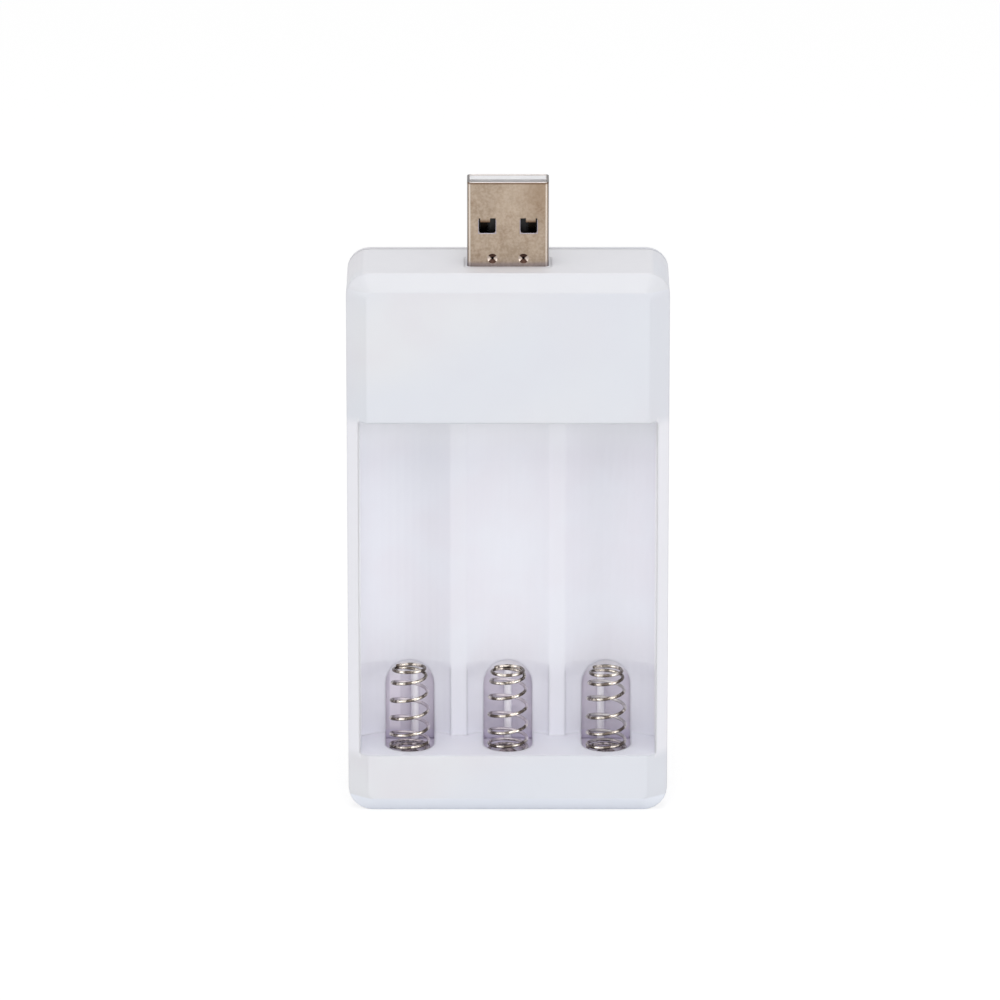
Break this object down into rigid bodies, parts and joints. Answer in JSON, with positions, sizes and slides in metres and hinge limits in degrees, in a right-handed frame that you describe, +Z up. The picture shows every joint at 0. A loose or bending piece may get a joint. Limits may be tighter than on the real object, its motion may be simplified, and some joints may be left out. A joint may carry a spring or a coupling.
{
  "type": "battery charger",
  "caption": "Slim upright charger stick with an open tray of battery bays, coil contact springs on its foot and a USB plug on its head.",
  "frame": {"origin": "middle of the flat underside of the foot, so the charger stands on it", "axes": "+Z up toward the plug, -Y toward the open front of the bays, +X to the right seen from the front"},
  "size_m": [0.0474, 0.017, 0.0962],
  "materials": {
    "white_plastic": "fine satin white moulding",
    "plug_steel": "warm grey plated sheet, slightly tarnished",
    "nickel": "bright nickel plate",
    "screw_steel": "zinc plated",
    "gold_plate": "thin gold flash",
    "tongue_plastic": "pale insulator",
    "board_green": "green solder mask",
    "black_resin": "moulded black",
    "can_aluminium": "drawn can",
    "wire_sleeve": "black sleeve"
  },
  "bodies": {
    "housing": {"front_shell": "white_plastic", "rear_cover": "white_plastic", "screw_1": "screw_steel", "screw_2": "screw_steel", "screw_3": "screw_steel", "screw_4": "screw_steel", "usb_shell": "plug_steel", "usb_tongue": "tongue_plastic", "usb_contact_1": "gold_plate", "usb_contact_2": "gold_plate", "usb_contact_3": "gold_plate", "usb_contact_4": "gold_plate", "circuit_board": "board_green", "charge_controller": "black_resin", "input_capacitor": "can_aluminium", "diode_1": "black_resin", "diode_2": "black_resin", "diode_3": "black_resin", "resistor_1": "black_resin", "resistor_2": "black_resin", "resistor_3": "black_resin", "positive_contact_1": "nickel", "positive_contact_2": "nickel", "positive_contact_3": "nickel", "negative_bus": "nickel", "ground_wire": "wire_sleeve"},
    "coil_1": {"spring_1": "nickel"},
    "coil_2": {"spring_2": "nickel"},
    "coil_3": {"spring_3": "nickel"}
  },
  "joints": [
    {"name": "coil_1_press", "type": "slide", "parent": "housing", "child": "coil_1", "axis": [0, 0, 1], "range_m": [-0.009, 0], "stiffness_N_per_m": 150, "deforming": ["spring_1"]},
    {"name": "coil_2_press", "type": "slide", "parent": "housing", "child": "coil_2", "axis": [0, 0, 1], "range_m": [-0.009, 0], "stiffness_N_per_m": 150, "deforming": ["spring_2"]},
    {"name": "coil_3_press", "type": "slide", "parent": "housing", "child": "coil_3", "axis": [0, 0, 1], "range_m": [-0.009, 0], "stiffness_N_per_m": 150, "deforming": ["spring_3"]}
  ]
}
